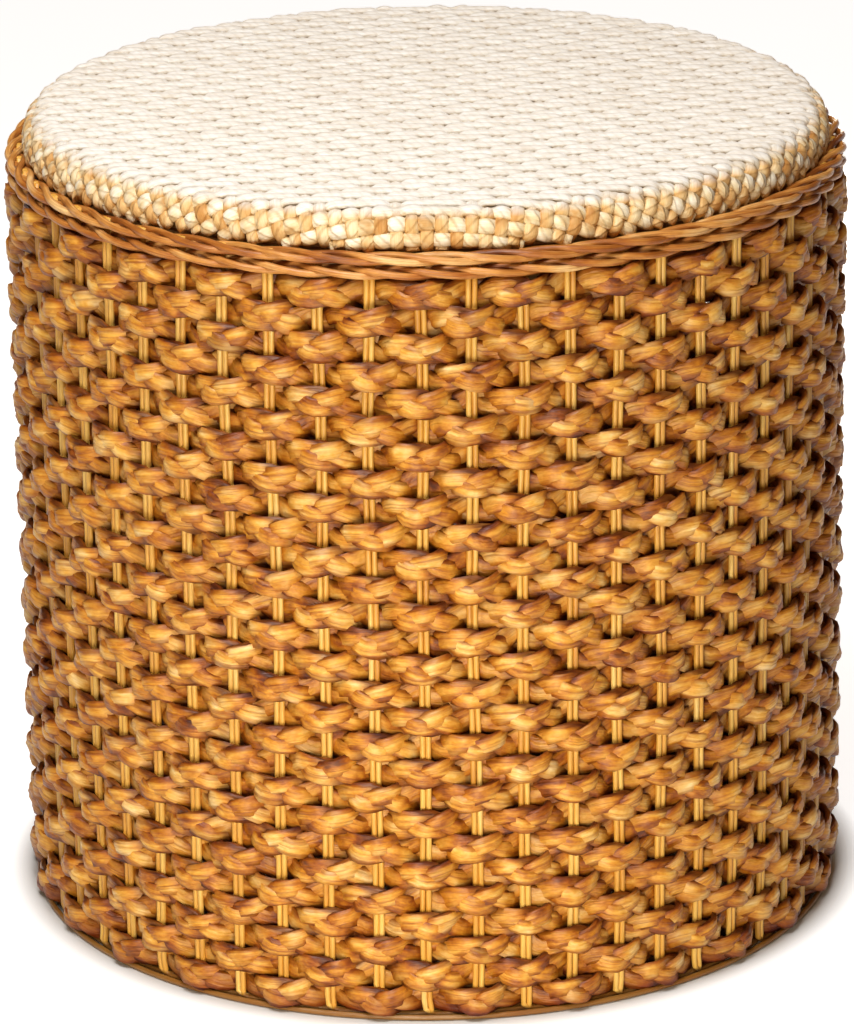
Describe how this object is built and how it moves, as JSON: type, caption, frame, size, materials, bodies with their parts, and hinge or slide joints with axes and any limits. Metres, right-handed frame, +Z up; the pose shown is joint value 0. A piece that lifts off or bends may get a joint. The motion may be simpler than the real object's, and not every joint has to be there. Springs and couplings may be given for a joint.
{
  "type": "drum stool",
  "caption": "Straight-sided drum stool with a wall of plaited rope woven over cane stakes, twisted cane rows under the seat and a woven cord mat over a board on a rattan frame.",
  "frame": {"origin": "middle of the underside, on the surface that the stool stands on", "axes": "+Z up along the drum's axis, -Y towards the front, +X to the right seen from the front"},
  "size_m": [0.4497, 0.4498, 0.4346],
  "materials": {
    "cane": "bare split cane rods, slightly glossy",
    "plait": "plaited dried water plant, golden brown, satin",
    "wale": "brown cane, satin",
    "mat": "pale twisted cord, matt",
    "board": "bare plywood",
    "rattan": "peeled rattan pole, satin",
    "screw": "zinc-plated"
  },
  "bodies": {
    "root": {"stake_cage": "cane", "plait_length_1": "plait", "plait_length_2": "plait", "plait_length_3": "plait", "plait_length_4": "plait", "plait_length_5": "plait", "plait_length_6": "plait", "plait_length_7": "plait", "wale_lower": "wale", "wale_upper": "wale", "bottom_hoop": "rattan", "middle_hoop": "rattan", "top_hoop": "rattan", "upright_1": "rattan", "upright_2": "rattan", "upright_3": "rattan", "upright_4": "rattan", "upright_5": "rattan", "upright_6": "rattan", "upright_7": "rattan", "upright_8": "rattan", "board_screw_1": "screw", "board_screw_2": "screw", "board_screw_3": "screw", "board_screw_4": "screw", "board_screw_5": "screw", "board_screw_6": "screw", "board_screw_7": "screw", "board_screw_8": "screw", "seat_rail_long": "rattan", "seat_rail_front": "rattan", "seat_rail_back": "rattan", "seat_board": "board", "seat_mat": "mat"}
  },
  "joints": []
}
